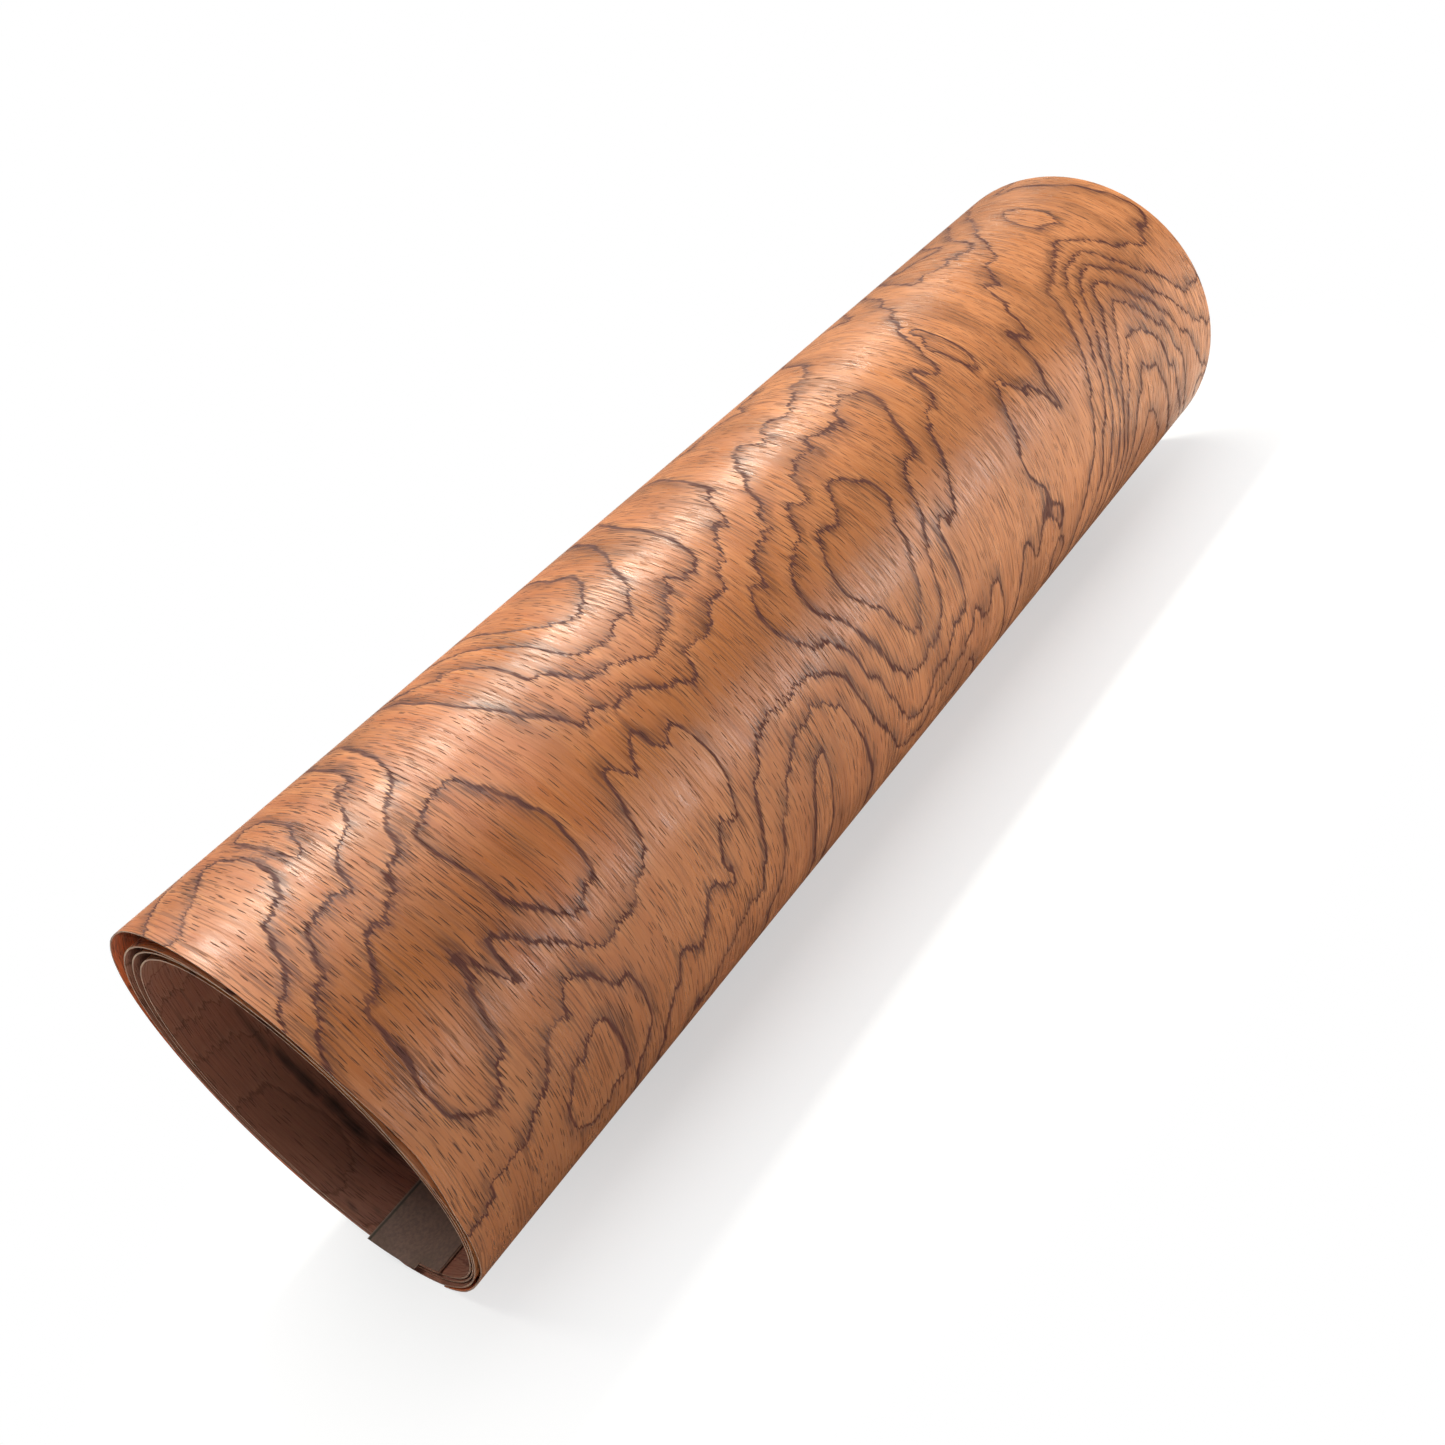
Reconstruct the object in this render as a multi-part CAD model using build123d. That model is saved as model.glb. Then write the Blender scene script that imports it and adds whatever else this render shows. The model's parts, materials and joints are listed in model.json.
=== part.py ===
from build123d import *
from math import cos, sin, radians
import os

os.makedirs("parts", exist_ok=True)

# Loosely rolled sheet of wood veneer with a strip of paper tape on its inner end.
# The roll lies on the floor. Its axis runs along Y, and the open near end faces -Y.
# Sizes are in millimetres. The section is drawn first and then turned to its rest.
# Directions in the section are in degrees, seen from the near end: 0 is the
# right-hand side and 90 is the top. The sheet is wound clockwise from its inner end.

# Sheet
rollLength = 600          # width of the sheet, and so the length of the roll
sheetThick = 0.6
innerEndAt = -45          # direction of the sheet's inner end
sheetArcs = 128           # the section is a chain of this many tangent arcs
arcSpan = 11.25           # angle that each arc spans

# The roll is turned clockwise by this angle, so that its heavy side is at the bottom
# and it lies still on its outer end
restTurn = 34.2

# Reach of the sheet's middle line from the roll's axis as it passes each side, from
# the inner turn to the outer one. Gaps are widest on the left and at the top.
reachBottom = (78.0, 79.5, 81.0, 82.9, 84.3)
reachLeft = (72.0, 75.4, 78.2, 85.4, 86.6)
reachTop = (74.2, 76.8, 79.4, 83.6, 84.8)
reachRight = (79.6, 81.0, 82.5, 84.5, 85.8)

# Paper tape on the sheet's inner face, along its inner end
tapeThick = 0.25
tapeArcs = 3              # the tape covers the first arcs of the section
tapeOverhang = 2.5        # it stands out past the near end of the roll
flushArcs = 1             # its near corner is trimmed flush over the first arc


def reachAt(values, passes):
    # Smooth blend between the listed reaches after a number of passes
    if passes < 0:
        return values[0] + (values[1] - values[0]) * passes
    low = min(int(passes), len(values) - 2)
    part = min(1.0, passes - low)
    part = part * part * (3 - 2 * part)
    return values[low] * (1 - part) + values[low + 1] * part


def tangentDistance(woundAngle):
    # Distance from the roll's axis to the sheet's tangent line
    way = radians(innerEndAt - woundAngle)
    bottom = reachAt(reachBottom, (woundAngle - 45) / 360)
    left = reachAt(reachLeft, (woundAngle - 135) / 360)
    top = reachAt(reachTop, (woundAngle - 225) / 360)
    right = reachAt(reachRight, (woundAngle - 315) / 360)
    mean = (right + left + top + bottom) / 4
    oval = (right + left - top - bottom) / 4
    return (mean + oval * cos(2 * way)
            + (right - left) / 2 * cos(way) + (top - bottom) / 2 * sin(way))


def bendRadius(woundAngle):
    # Radius of the sheet's bend: the tangent distance plus its second derivative
    step = radians(arcSpan)
    here = tangentDistance(woundAngle)
    before = tangentDistance(woundAngle - arcSpan)
    after = tangentDistance(woundAngle + arcSpan)
    return here + (before + after - 2 * here) / step ** 2


def arcChain():
    # Centre, radius and end directions of every arc, each tangent to the next
    arcs = []
    start = radians(innerEndAt)
    slope = (tangentDistance(arcSpan) - tangentDistance(-arcSpan)) / (2 * radians(arcSpan))
    radius = bendRadius(arcSpan / 2)
    tangentFirst = tangentDistance(0)
    px = tangentFirst * cos(start) + slope * sin(start)
    pz = tangentFirst * sin(start) - slope * cos(start)
    centre = (px - radius * cos(start), pz - radius * sin(start))
    for number in range(sheetArcs):
        begin = innerEndAt - number * arcSpan
        end = begin - arcSpan
        arcs.append((centre, radius, begin, end))
        following = bendRadius((number + 1.5) * arcSpan)
        turn = radians(end)
        centre = (centre[0] + (radius - following) * cos(turn),
                  centre[1] + (radius - following) * sin(turn))
        radius = following
    return arcs


def pointOn(arc, angle, offset):
    centre, radius = arc[0], arc[1]
    way = radians(angle)
    return (centre[0] + (radius + offset) * cos(way), centre[1] + (radius + offset) * sin(way))


def band(arcs, low, high):
    # Closed face that follows the arcs between two offsets from the middle line
    edges = []
    for offset in (low, high):
        for arc in arcs:
            begin, end = arc[2], arc[3]
            edges.append(ThreePointArc(pointOn(arc, begin, offset),
                                       pointOn(arc, (begin + end) / 2, offset),
                                       pointOn(arc, end, offset)))
    for arc, angle in ((arcs[0], arcs[0][2]), (arcs[-1], arcs[-1][3])):
        edges.append(Line(pointOn(arc, angle, low), pointOn(arc, angle, high)))
    return Face(Wire(edges))


def alongRoll(face, nearPast):
    # Solid from the section, its near end at the roll's near end plus an overhang
    upright = Plane(origin=(0, -rollLength / 2 - nearPast, 0), x_dir=(1, 0, 0), z_dir=(0, -1, 0))
    return extrude(upright * face, amount=-(rollLength + nearPast))


def veneerSheet(arcs):
    return alongRoll(band(arcs, -sheetThick / 2, sheetThick / 2), 0)


def endTape(arcs):
    inner, outer = -sheetThick / 2 - tapeThick, -sheetThick / 2
    flush = alongRoll(band(arcs[:tapeArcs], inner, outer), 0)
    standing = alongRoll(band(arcs[flushArcs:tapeArcs], inner, outer), tapeOverhang)
    return flush + standing


arcs = arcChain()
sheet = Rot(Y=restTurn) * veneerSheet(arcs)
tape = Rot(Y=restTurn) * endTape(arcs)

# The floor is at Z = 0 and the roll is centred over the origin
box = sheet.bounding_box()
home = Pos(-(box.min.X + box.max.X) / 2, 0, -box.min.Z)
export_step(home * sheet, "parts/veneer_sheet.step")
export_step(home * tape, "parts/end_tape.step")
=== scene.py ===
import json
import bmesh
import bpy
import numpy as np
from mathutils import Matrix, Vector, kdtree, noise

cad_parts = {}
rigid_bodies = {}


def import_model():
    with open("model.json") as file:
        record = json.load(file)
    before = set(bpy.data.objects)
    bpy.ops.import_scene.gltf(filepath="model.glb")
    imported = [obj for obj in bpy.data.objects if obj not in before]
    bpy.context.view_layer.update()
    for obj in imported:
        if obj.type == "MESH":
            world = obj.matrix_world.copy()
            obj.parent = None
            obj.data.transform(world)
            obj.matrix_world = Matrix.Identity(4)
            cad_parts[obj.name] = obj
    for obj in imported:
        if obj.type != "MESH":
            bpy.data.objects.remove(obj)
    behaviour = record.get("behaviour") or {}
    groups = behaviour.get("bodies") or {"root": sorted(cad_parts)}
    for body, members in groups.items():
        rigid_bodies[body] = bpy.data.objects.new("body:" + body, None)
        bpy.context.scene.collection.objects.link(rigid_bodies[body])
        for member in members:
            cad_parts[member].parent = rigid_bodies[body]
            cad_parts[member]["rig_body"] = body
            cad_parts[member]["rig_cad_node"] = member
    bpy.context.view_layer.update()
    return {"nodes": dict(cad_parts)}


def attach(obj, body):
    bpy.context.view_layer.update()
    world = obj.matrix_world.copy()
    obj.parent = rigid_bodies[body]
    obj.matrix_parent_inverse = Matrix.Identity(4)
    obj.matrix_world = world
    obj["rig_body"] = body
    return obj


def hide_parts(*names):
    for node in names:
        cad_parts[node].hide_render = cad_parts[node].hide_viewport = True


# A loose roll of figured wood veneer, with a strip of paper tape on its inner end. Sizes are in
# metres unless a name or a note says mm. Along means from the roll's near end, and a direction is
# an angle in degrees round the roll's section, as it was before the roll was turned to its rest.
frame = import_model()


class Wire:
    # one socket of a material, so that its maths reads as plain sums
    def __init__(self, tree, socket=None):
        self.tree, self.socket = tree, socket

    def put(self, kind, settings, sockets, out=0):
        node = self.tree.nodes.new("ShaderNode" + kind)
        for name, value in settings.items():
            setattr(node, name, value)
        for name, value in sockets.items():
            if isinstance(value, Wire):
                self.tree.links.new(value.socket, node.inputs[name])
            else:
                node.inputs[name].default_value = value
        return Wire(self.tree, node.outputs[out])

    def sums(self, operation, *values):
        return self.put("Math", {"operation": operation}, dict(enumerate(values)))

    def __add__(self, other):
        return self.sums("ADD", self, other)

    def __radd__(self, other):
        return self.sums("ADD", other, self)

    def __sub__(self, other):
        return self.sums("SUBTRACT", self, other)

    def __rsub__(self, other):
        return self.sums("SUBTRACT", other, self)

    def __mul__(self, other):
        return self.sums("MULTIPLY", self, other)

    def __rmul__(self, other):
        return self.sums("MULTIPLY", other, self)

    def __truediv__(self, other):
        return self.sums("DIVIDE", self, other)

    def __pow__(self, other):
        return self.sums("POWER", self, other)

    def most(self, other):
        return self.sums("MAXIMUM", self, other)

    def size(self):
        return self.sums("ABSOLUTE", self)

    def rise(self, low, high, start=0.0, stop=1.0):
        # smooth step from start to stop as this value goes from low to high
        return self.put("MapRange", {"interpolation_type": "SMOOTHSTEP", "clamp": True},
                        {0: self, 1: low, 2: high, 3: start, 4: stop})


def newMaterial(name):
    material = bpy.data.materials.new(name)
    material.use_nodes = True
    material.node_tree.nodes.clear()
    return material, Wire(material.node_tree)


def mixColour(wire, factor, first, second):
    return wire.put("Mix", {"data_type": "RGBA", "clamp_factor": True}, {0: factor, 6: first, 7: second}, 2)


def noiseAt(wire, place, scale, detail, roughness=0.5):
    return wire.put("TexNoise", {}, {"Vector": place, "Scale": scale, "Detail": detail,
                                     "Roughness": roughness}, 0)


def threeNumbers(wire, attribute):
    # the numbers that one of the sheet's attributes holds at each point
    vector = wire.put("Attribute", {"attribute_name": attribute}, {}, 1)
    return [wire.put("SeparateXYZ", {}, {0: vector}, number) for number in range(3)]


def finishMaterial(wire, shader):
    out = wire.tree.nodes.new("ShaderNodeOutputMaterial")
    wire.tree.links.new(shader.socket, out.inputs[0])


def finishSurface(wire, look, colour, rough, dent):
    # look is the dictionary that says how much its bumps and its gloss show
    bump = wire.put("Bump", {}, {"Strength": look["bump"], "Distance": look["bumpDepth"], "Height": dent})
    finishMaterial(wire, wire.put("BsdfPrincipled", {}, {
        "Base Color": colour, "Roughness": rough, "Normal": bump, "Specular IOR Level": look["gloss"]}))


veneer = {
    "turns": 4,                # from the inner end to the outer end
    "innerEnd": -45.0,         # direction of both ends
    "strips": 20,              # cuts along the whole roll
    "fineStrips": 17,          # further cuts of each strip on the outer turn's good face
    "fineLead": 4,             # steps before the outer turn where these begin
    "streakTurn": 0.14,        # share of the inner turns that has finer cuts at the near end
    "streakStrips": 20,
    "streakReach": 0.07,       # how far along these go
    "streakTo": 150,           # degrees wound up to which the back face has its streak
    "samePlace": 1e-5,         # points nearer than this are one
    "endFacing": 0.9,          # a face whose normal points this far along belongs to the near end
    "widestEdge": 0.001,       # the two cut ends of the section are shorter than this
    "wholeRoll": 0.5,          # an edge longer than this runs along the whole roll
    "oneStrip": 0.01,          # and one longer than this along a strip
    "quadAngle": 0.6,          # how far two triangles may bend and differ and still make a quad
    "quadShape": 3.1,
    "smoothAngle": 0.6,
    "mmPerDegree": 1.4765,     # round the outer turn
    "innerMmPerDegree": 1.32,  # round the innermost turn
    "stiffness": 3e-5,         # lets the figure pass a little beside the places below
    "plateMm": 100,            # unit of length in the sums for the figure
    "batch": 4000,             # places that are worked out at once
    "stepMm": 1,               # step over which the rings' slope is taken
    "seamAt": 250,             # directions are counted up to here, and below 0 beyond it
    "seenWound": 60,           # degrees into the outer turn from which the traced figure counts
    "seenBelow": -60,          # and the direction where it stops at the lower right
    "tracedTo": 146,           # it is traced up to this direction at the upper left
    "hiddenFrom": (146, 195),  # between these directions it goes over into the hidden figure
    # loops of the hidden figure: mm along, mm round, seed, rings
    "hiddenLoops": [(120, 190, 3.1, 7.5), (48, 90, 8.4, 1.6)],
    # how far the outer turn's near rim is drawn back: degrees from the turn's start, mm
    "rimWaves": [(-90, 0), (-60, 0.2), (-26, -1.5), (0, -2.0), (19, -1.8), (32, -0.2), (45, 0), (168, 0),
                 (173, 0.6), (182, 0.4), (192, 0), (254, 0), (261, 0.5), (269, 1.2), (278, 1.8), (289, 0.7),
                 (297, 0), (329, 0), (334, -1.5), (345, -2.2), (360, -2.0)],
    "innerRim": (1.2, 75, 3.3, 0.7),  # waves of the inner rims: mm, degrees, seeds
    "rimReach": 18,            # mm along over which all these waves fade
}

# Growth rings of the seen half turn: how many rings up from the plain ground, and places on the
# ring's edge as mm along and direction
ringEdges = [
    # arched loops at the upper left
    (3.5, [(164, 138), (164, 130), (165, 120), (168, 112), (173, 106), (177, 103), (180, 100), (185, 101),
        (191, 103), (200, 108), (204, 114), (201, 120), (203, 130), (204, 138)]),
    (2.5, [(146, 137), (150, 128), (153, 121), (157, 112), (161, 104), (163, 97), (167, 91), (173, 89),
        (180, 88), (185, 90), (190, 91), (195, 90), (199, 92), (204, 95), (207, 96), (209, 98), (211, 101),
        (213, 105), (217, 108.5), (220, 111), (223, 115), (226, 119.5), (228, 125), (231, 132)]),
    (1.5, [(124, 137), (128, 130), (132, 124), (135.5, 120), (139, 123), (142, 117.5), (145, 108),
        (146.7, 101.5), (147, 95), (152.5, 93), (155.5, 89), (159, 85.5), (164, 83.5), (168.5, 83),
        (173, 80.5), (178, 79.5), (181.5, 77.5), (187, 77), (191, 78.5), (200, 81), (205, 83), (209, 85.5),
        (213, 86.5), (215, 89), (218, 89.5), (220, 88.8), (222, 86), (226, 86), (229, 85.6), (231, 87),
        (233.5, 88.5), (236, 92), (237.5, 97), (238.8, 102), (238.8, 108), (239, 114), (240, 119),
        (242, 123), (244, 127), (249, 137)]),
    (0.5, [(119, 137), (121, 127), (122.5, 114), (125.5, 101.5), (130, 94), (135, 86), (140.7, 78.5),
        (144, 76), (147, 77), (151, 77.5), (155.5, 75), (159, 73.5), (163, 74.5), (171, 72), (175.5, 69.5),
        (179, 69), (183, 67), (186, 65), (190, 67), (192, 69.5), (194.5, 71.5), (199, 72), (205, 71),
        (209, 72.3), (213, 74), (216, 75.5), (220, 76.3), (227, 76.5), (229, 77.7), (231, 79), (234, 81.5),
        (237, 82.5), (240, 83), (243, 84.5), (246, 87.3), (249, 88.3), (252, 90.5), (254, 93), (256, 90.5),
        (259, 91), (261, 93), (263, 96), (266, 99.5), (270, 100.5), (272.5, 102), (274, 105), (275, 110),
        (276.5, 115), (277.5, 120), (278, 137)]),
    # oval eye
    (0.5, [(71.5, 77), (72, 82), (73, 85.5), (75, 86.5), (78, 86.8), (80, 88), (83, 89), (86, 89.3),
        (89, 90.2), (93, 89.6), (96, 89.3), (98, 86.5), (99, 83), (101, 81.5), (103, 78), (104.5, 75.5),
        (104.5, 72.5), (106, 69.5), (107.5, 66), (107.5, 62), (107, 58), (106, 54.5), (104.5, 51.5),
        (101, 50.5), (98, 49.5), (95, 48.5), (91, 47.8), (88, 48.5), (85, 50.5), (83, 53), (80, 55.5),
        (78, 58), (76, 61), (75, 65), (74, 69), (72.5, 73)]),
    # edge that wraps the oval eye and wanders down to the right
    (-0.5, [(93.5, 138), (93.5, 123), (93, 118), (92.5, 114), (92, 109), (90, 105.5), (87, 101.5),
        (85, 99.2), (81, 98), (77, 96), (73, 94.5), (70, 92), (69, 89.5), (67, 86.5), (64, 84), (61, 84.5),
        (58, 84), (56, 81), (54, 79), (51, 79.5), (49, 77.5), (46, 77), (44, 75.5), (41, 76.3), (38, 76),
        (35, 75), (33, 72.5), (31, 69.5), (30, 67), (24, 66.4), (20, 65.2), (19.5, 61), (18.5, 57),
        (18.5, 53.5), (17, 50), (15.5, 46.5), (15.5, 43), (16, 39.5), (19, 36), (22, 33.5), (25, 32.3),
        (28, 31.8), (30, 31.3), (31, 32), (33, 34), (36, 35.8), (38.5, 38.5), (41, 38), (43, 40),
        (44, 42.5), (44.5, 46), (46, 49.5), (48, 54), (50, 58), (51.5, 60.5), (53, 57), (54.5, 54),
        (56, 50.5), (58, 48.2), (60, 47.5), (60.5, 52), (61, 56), (62.5, 58.8), (65, 57), (68, 54.6),
        (71, 52.4), (73, 50), (76, 48), (78, 46.4), (81, 44.5), (84, 42.5), (87, 40.3), (90, 38.5),
        (93, 37.3), (96, 37.3), (99, 38.2), (103, 38.5), (107, 38.5), (112, 41), (118, 43), (123.5, 45.5),
        (128, 52), (130.5, 59), (132, 64), (134.5, 65.5), (138, 63), (140, 60), (142.5, 61), (145.5, 63),
        (148.5, 65.5), (151, 67.5), (154, 65.5), (156, 60), (159, 59), (162.5, 62), (166, 61),
        (168.5, 57.5), (169.7, 52), (169.7, 45.5), (167, 41), (165, 37.5), (161.5, 34.5), (158, 34.5),
        (155.5, 37), (152, 33), (151, 22), (148.5, 27), (143.5, 24), (139, 25.5), (135.5, 23), (130.5, 19),
        (123.5, 14.5), (119, 17.5), (115.5, 19), (113, 17), (109.5, 11.5), (107, 10), (105, 8), (103, 6),
        (101, 3), (99.5, 1), (98.5, -3), (97, -6), (96, -9), (96, -22)]),
    (-1.5, [(0, 61.5), (2, 64.5), (5, 68), (8, 70), (10, 72), (13, 73.5), (15, 75), (18, 76), (20, 76.5),
        (21, 79.5), (23, 81), (25, 82), (27, 84.5), (29, 86.5), (33, 87), (38, 87.7), (43, 87), (46, 87.7),
        (48, 91), (50, 93.2), (53, 95), (57, 96.7), (60, 97.6), (63, 99), (65, 101), (68, 104), (70, 106.3),
        (72, 109), (74, 111), (75.5, 113), (76.5, 110), (79, 109.7), (81, 112), (82, 116), (82.5, 120),
        (82, 125), (82.5, 138)]),
    (-2.5, [(0, 73.4), (6, 79), (10, 80.5), (13, 82.2), (16, 85.5), (20, 92), (22, 94.8), (25, 95.4),
        (28, 95.8), (31, 97.6), (35.5, 102), (37.6, 107), (38.4, 111), (37.8, 116), (35.8, 121), (34, 124),
        (31, 126), (28, 125), (25, 122.5), (21, 119.5), (18, 117), (16, 115.5), (11, 113.5), (9, 112),
        (6, 109), (0, 109)]),
    (-2.5, [(43.5, 114.5), (43, 118), (43.5, 122.5), (45.5, 127.5), (48.5, 129.2), (52, 126.5),
        (54.5, 122.5), (54.5, 116.5), (51.5, 109), (48.5, 103), (46, 101.9), (44, 104), (43.4, 107.5),
        (43.4, 111)]),
    (-1.5, [(0, 119.5), (3, 122), (6, 125), (9, 127.5), (12, 130), (20, 134), (28, 138)]),
    # small eye at the lower left and the edge round it
    (-1.5, [(0, 11.4), (4, 11.9), (8, 12), (12, 12.9), (14.5, 15), (15.5, 17.5), (18, 17.8), (21, 17),
        (25, 17.8), (28, 18), (31, 15.8), (33, 17.5), (36, 19.5), (39, 21), (42, 23), (45, 23.8), (48, 25),
        (51, 27.3), (53, 30), (55, 32.5), (57, 33.5), (60, 33), (63, 32.8), (65, 32), (67, 35.5),
        (69, 37.5), (71, 38.8), (74, 39), (76, 38), (79, 35.5), (82, 32.8), (84.5, 30), (87, 27.6),
        (90, 28), (92, 26.5), (93.5, 23), (94.5, 19.5), (94.5, 15), (94, 11), (92, 8), (90, 5.5), (88, 3),
        (85, 1), (83.5, -1), (82.5, -4), (83, -8), (84, -22)]),
    (-2.5, [(50.5, 8), (50.5, 13), (53, 15), (55, 17), (57, 20), (59, 22.5), (61, 21.5), (64, 20),
        (65.5, 22), (67, 24), (70, 25), (73, 25), (76, 24.5), (77.5, 21.5), (78.5, 17), (79, 12), (78.5, 8),
        (78.5, 4), (77, 3), (75, 4), (72, 3.2), (70, 4.2), (68.5, 1), (65, -0.5), (62, 0), (58, -1.5),
        (55, 0.5), (52.5, 3), (50.5, 5.5)]),
    # hanging loops at the lower middle
    (-0.5, [(117, -22), (117.5, -8), (119, -4), (122.5, -8), (125, -6.5), (128, -4), (135.5, 1), (141, 2.5),
        (146, 7), (151, 8), (155.5, 9.5), (161.5, 8), (165, 14.5), (168.5, 19), (169.7, 24), (171.5, 28),
        (174.5, 33), (180, 37.5), (185, 40), (190, 44), (194.5, 44.5), (201.5, 45.5), (205, 45),
        (208, 46.5), (211, 45.6), (215, 45.7), (219, 46), (222, 44.8), (227, 45), (230, 43.5), (234, 42.3),
        (237, 40), (240, 38), (241.5, 35), (243, 30), (245, 26), (247, 21.5), (250, 16.5), (253, 13.3),
        (256, 10), (258.5, 6), (260.5, 2.5), (263, -0.5), (268, -2.2), (273, -4), (279, -4), (282, -5),
        (286, -3.6), (290, -1.3), (294, 0.7), (297, 3.6), (300, 2.6), (305, 3), (309, 4.7), (313, 6.4),
        (317, 7), (320, 7.7), (321, 9.8), (324, 11), (327, 12.7), (328.5, 15), (330, 16.7), (332, 15.5),
        (334, 15.7), (336, 13.7), (338, 11.5), (341, 11), (344, 12.5), (346, 15.6), (347, 18.2),
        (350, 18.5), (352, 18.7), (354, 15.4), (355.5, 12), (357, 9), (358, 5), (359, 1.5), (360, -3),
        (361, -10), (362, -22)]),
    (-1.5, [(165, -22), (166, -8), (167, -1), (171, 1.5), (175.5, 7), (179, 13.5), (181.5, 20), (187.5, 25),
        (191, 29.5), (197, 32), (203, 35.5), (209, 37), (213, 36.8), (217, 37.7), (220, 38.3), (223, 37.8),
        (226, 36.5), (229, 34.5), (231, 32.7), (233, 29.4), (235, 25), (237, 20), (239, 14.5), (240, 10),
        (241, 5), (241, 0), (240.5, -5), (240, -22)]),
    (-2.5, [(199, -22), (199, -8), (198, 4), (200.5, 13.5), (203, 20), (205, 22.5), (207, 25), (210, 26.8),
        (212, 27.8), (213.3, 28), (213.8, 25), (213.5, 20), (212.5, 15), (211.5, 10), (211, 5), (210, 0),
        (209, -5), (208, -22)]),
    (-1.5, [(302, -22), (312, -9), (317, -9), (320, -7), (322, -2), (324, 0), (328, -1), (331, -4),
        (334, -8), (340, -22)]),
    # big eye and the edges round it
    (2.5, [(313.5, 73), (310, 76.8), (306, 77.3), (303, 77.5), (301, 75.4), (299, 73.5), (297, 72),
        (295, 70.5), (292, 69), (289, 67.7), (285, 68), (282, 69), (279, 69.8), (277.5, 69), (275, 66.5),
        (272.5, 64.7), (270, 62.2), (268, 59.3), (267, 56), (266.5, 52.5), (268, 50), (270.5, 48),
        (273, 45.5), (277.5, 43), (279, 40), (280.5, 37), (283, 33.7), (285, 31.2), (289, 30), (293, 30.5),
        (295, 32.5), (298, 35.4), (302, 38.5), (304, 41), (307, 46), (309.5, 49.5), (311, 53), (313, 57),
        (316, 60), (318.5, 62), (319, 66), (318, 70)]),
    (1.5, [(305, 89.3), (301, 87), (297, 85.6), (295, 83), (292, 80.8), (289, 78.8), (286, 79), (284, 80.2),
        (280, 80.3), (277, 78.5), (275, 76.5), (273, 73.5), (270, 72), (267, 70.7), (263, 70.5), (261, 69),
        (259, 67.9), (256, 68.2), (254, 67), (252, 65.5), (250.7, 63.6), (249, 60.5), (248.5, 57.5),
        (250, 54.5), (251, 53), (253, 51.5), (256, 49), (258, 46), (259.5, 43), (261, 40), (263, 36.4),
        (265, 33), (267, 28.8), (268, 26.6), (271, 25.5), (273, 23), (275, 20.5), (279, 21.3), (282, 20),
        (285, 20), (289, 20.3), (291, 21.8), (295, 22), (299, 22.3), (302, 24), (306, 26.2), (309, 29),
        (311, 33), (312, 36), (315, 41), (317, 44.5), (320, 46.3), (322, 49), (324, 51), (327, 53.4),
        (329, 56), (331, 59.4), (334, 62.4), (337, 64.5), (340, 66), (343, 66.3), (347, 66), (350, 66.8),
        (352, 69.4), (354, 72.4), (357, 76.3), (360, 79.3), (362, 80.8), (364, 83.5), (365.5, 86.5),
        (366, 89.5), (365, 92), (363, 93), (360, 92.4), (358.5, 94), (357, 95), (353, 94.2), (350, 94),
        (348, 93.2), (345, 92.7), (343, 91), (341, 89), (339, 87.7), (337, 90), (334, 90), (332, 89),
        (329, 90.5), (326, 92), (323, 92.6), (320, 91), (319, 88.7), (317, 87), (315, 88.5), (313, 89.8),
        (309, 89.3)]),
    (0.5, [(397, 139), (393, 136), (389, 133), (387, 130), (385, 126), (383, 122), (381, 119.6),
        (378, 117.4), (375, 115.3), (371, 114.5), (368, 113), (364, 113.5), (361.5, 114.7), (359.5, 114.5),
        (357, 112.2), (354, 110.5), (350, 109.3), (347, 108.5), (343, 107.2), (340, 105.3), (337, 104.6),
        (333, 104.6), (331.5, 106), (330, 108.3), (328, 108.9), (324, 107.3), (320, 106.3), (319, 104.8),
        (317, 103.2), (314, 103), (311, 102.9), (308, 105.6), (306, 108), (303.5, 108.5), (301, 107.3),
        (299.5, 108.3), (297, 104.7), (294, 102.6), (291, 102), (290, 100), (287, 97.5), (284, 95.3),
        (281, 94), (279, 91.4), (277, 89), (275, 86), (272, 85), (269, 83.5), (267, 80.5), (262, 79.5),
        (258, 78.5), (253, 77.5), (248, 77), (246, 74.5), (244, 71.5), (242, 69.7), (240.5, 71.4),
        (238, 71.5), (235, 71), (232, 69), (229.5, 67), (228, 64), (227, 60.5), (228.5, 57.5), (231, 54.5),
        (235, 51.5), (238, 49), (243, 48), (245, 46), (248, 43.5), (251, 40), (252, 35.5), (253.5, 32),
        (257, 28.5), (259, 24), (262, 19.2), (264.5, 15.6), (266, 12.5), (270, 9), (274, 6), (278, 4.5),
        (280.5, 3.8), (284, 4.7), (289, 8), (292, 10.5), (295, 13), (299, 13.2), (302, 12), (305, 13),
        (308, 15.4), (311, 17.2), (314, 19.4), (317, 20), (321, 20.7), (325.5, 24), (327, 30), (328, 38),
        (329, 44), (331, 47), (333.5, 48.3), (336, 46), (338, 44), (340, 45.8), (342, 46.5), (345, 47.5),
        (347, 50.2), (350, 53), (353, 54.5), (356, 56.5), (359, 59.5), (361, 62), (363.5, 65.7),
        (366, 67.6), (369, 69.6), (371, 72), (373, 73), (376, 72.5), (379, 72.5), (382, 73.7), (385, 74.5),
        (387, 76.4), (388.5, 79.5), (389.5, 83), (391, 84), (393, 85.3), (394.5, 83.5), (396, 80),
        (398, 79.3), (402, 80.2), (404, 83.2), (405.5, 86), (408, 87.7), (411, 90), (413, 92.5), (415, 96),
        (417, 98.7), (419, 99.8), (421, 99.5), (422.5, 101), (425, 103), (427, 105.5), (431, 107),
        (434, 107.8), (436.5, 109.5), (438.5, 112.5), (440.5, 115), (443, 115.8), (446, 116), (448, 117),
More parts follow.
